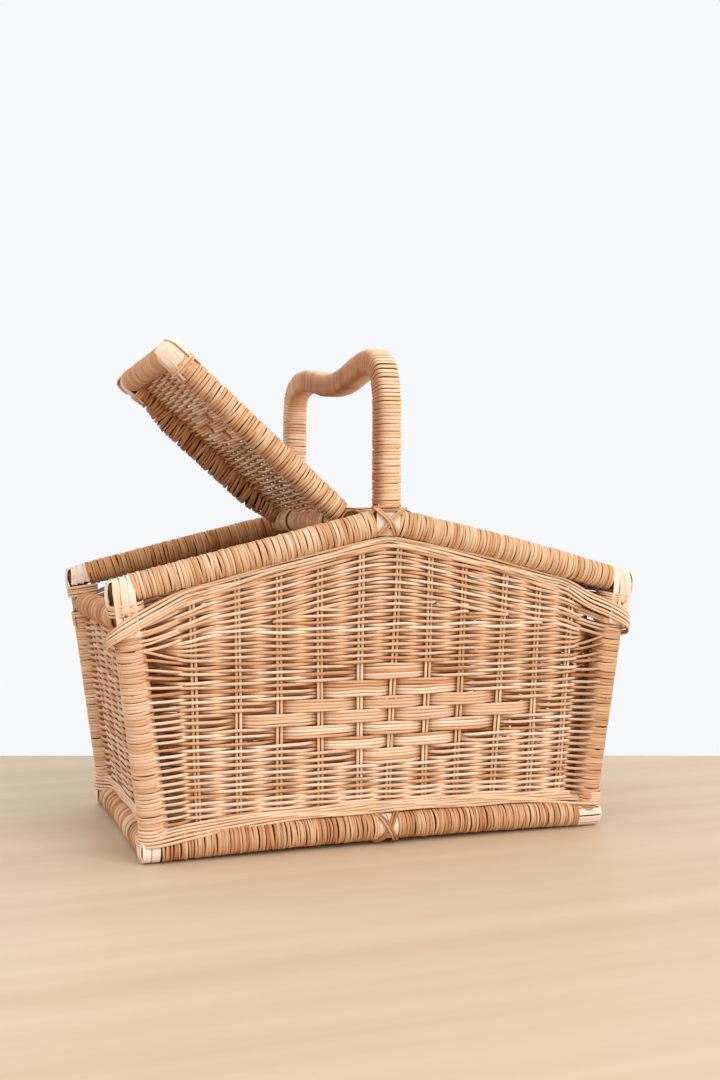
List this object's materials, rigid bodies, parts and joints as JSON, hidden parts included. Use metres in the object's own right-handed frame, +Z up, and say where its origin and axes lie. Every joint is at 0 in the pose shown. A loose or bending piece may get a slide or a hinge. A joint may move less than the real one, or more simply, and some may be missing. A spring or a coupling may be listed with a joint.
{
  "type": "wicker basket",
  "caption": "Lidded wicker basket with a bound pole frame, woven sides, a fixed hoop handle and two lids hinged on a ridge rail.",
  "frame": {"origin": "middle of the footprint on the floor", "axes": "+X along the width, the open lid on the -X side; +Y from the front to the back; +Z up"},
  "size_m": [0.4122, 0.2446, 0.3719],
  "materials": {
    "pole": "satin",
    "weaver_cane": "satin",
    "stake_cane": "satin",
    "wrap_cane": "satin",
    "splint": "satin",
    "nail": "dull"
  },
  "bodies": {
    "basket": {"back_panel_stakes": "stake_cane", "back_panel_weave": "weaver_cane", "base_corner_straps": "splint", "base_cross_rail": "pole", "base_lashings": "wrap_cane", "base_rail_back": "pole", "base_rail_front": "pole", "base_rail_left": "pole", "base_rail_right": "pole", "base_rail_wraps": "wrap_cane", "corner_post_back_left": "pole", "corner_post_back_right": "pole", "corner_post_bindings": "wrap_cane", "corner_post_front_left": "pole", "corner_post_front_right": "pole", "corner_post_wraps": "wrap_cane", "end_rail_left": "pole", "end_rail_right": "pole", "end_rail_wraps": "wrap_cane", "floor_stakes": "stake_cane", "floor_weave": "weaver_cane", "front_panel_stakes": "stake_cane", "front_panel_weave": "weaver_cane", "gable_rail_back": "pole", "gable_rail_front": "pole", "gable_rail_wraps": "wrap_cane", "handle_foot_straps": "splint", "handle_lashings": "wrap_cane", "handle_pole": "pole", "handle_wrap": "wrap_cane", "hinge_loops_left": "wrap_cane", "hinge_loops_right": "wrap_cane", "left_panel_stakes": "stake_cane", "left_panel_weave": "weaver_cane", "nails": "nail", "ridge_rail": "pole", "ridge_rail_wrap": "wrap_cane", "right_panel_stakes": "stake_cane", "right_panel_weave": "weaver_cane", "top_corner_straps": "splint"},
    "lid_left": {"left_lid_corner_straps": "splint", "left_lid_hinge_rail": "pole", "left_lid_outer_rail": "pole", "left_lid_rail_wraps": "wrap_cane", "left_lid_side_rails": "pole", "left_lid_stakes": "stake_cane", "left_lid_weave": "weaver_cane"},
    "lid_right": {"right_lid_corner_straps": "splint", "right_lid_hinge_rail": "pole", "right_lid_outer_rail": "pole", "right_lid_rail_wraps": "wrap_cane", "right_lid_side_rails": "pole", "right_lid_stakes": "stake_cane", "right_lid_weave": "weaver_cane"}
  },
  "joints": [
    {"name": "left_lid_hinge", "type": "hinge", "parent": "basket", "child": "lid_left", "pos_m": [-0.021, 0, 0.241], "axis": [0, 1, 0], "range_deg": [-57.6, 48.1]},
    {"name": "right_lid_hinge", "type": "hinge", "parent": "basket", "child": "lid_right", "pos_m": [0.021, 0, 0.241], "axis": [0, -1, 0], "range_deg": [0, 105.7]}
  ]
}
